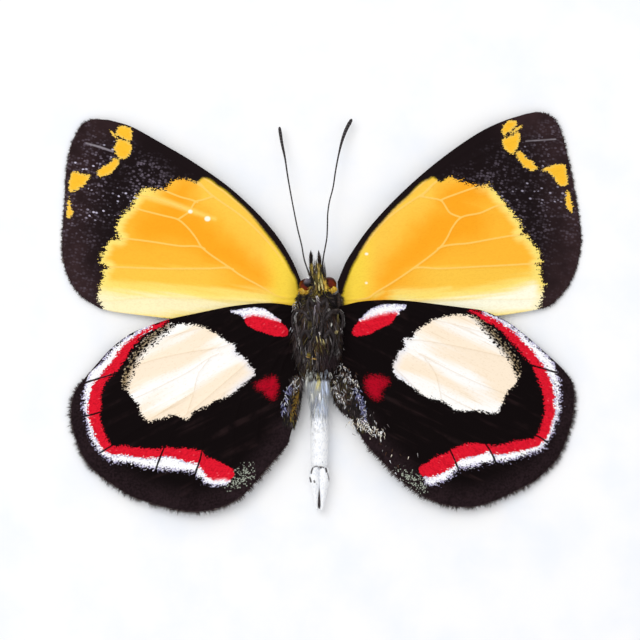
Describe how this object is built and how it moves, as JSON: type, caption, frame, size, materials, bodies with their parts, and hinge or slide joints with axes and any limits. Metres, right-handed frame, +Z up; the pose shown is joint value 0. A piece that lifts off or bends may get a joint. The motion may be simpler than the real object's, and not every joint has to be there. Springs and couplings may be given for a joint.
{
  "type": "spread butterfly specimen",
  "caption": "Dried butterfly with its wings spread, lying on its back: underside up, long clubbed antennae, folded legs, ringed abdomen.",
  "frame": {"origin": "on the flat patch of the thorax's back, in the surface that the specimen lies on", "axes": "+X towards the insect's left wings, +Y towards its head, +Z up, out of its underside"},
  "size_m": [0.0539, 0.0414, 0.0047],
  "materials": {
    "body_hair": "matte, dark grey and olive hair",
    "abdomen_scales": "matte, white scales",
    "head_hair": "matte, olive and yellow hair",
    "eye": "smooth, glossy, red-brown",
    "palp_hair": "matte, yellow hair with black bristles",
    "tongue": "satin, dark brown",
    "antenna": "satin, black",
    "forewing_scales": "matte, yellow scales with a black border",
    "hindwing_scales": "matte, black scales with cream, white and red marks",
    "leg": "matte, grey scales"
  },
  "bodies": {
    "root": {"thorax": "body_hair", "abdomen": "abdomen_scales", "left_clasper": "abdomen_scales", "right_clasper": "abdomen_scales", "head": "head_hair", "left_eye": "eye", "right_eye": "eye", "left_palp": "palp_hair", "right_palp": "palp_hair", "proboscis": "tongue", "left_antenna": "antenna", "right_antenna": "antenna", "left_forewing": "forewing_scales", "right_forewing": "forewing_scales", "left_hindwing": "hindwing_scales", "right_hindwing": "hindwing_scales", "left_foreleg": "leg", "right_foreleg": "leg", "left_midleg": "leg", "right_midleg": "leg", "left_hindleg": "leg", "right_hindleg": "leg"}
  },
  "joints": []
}
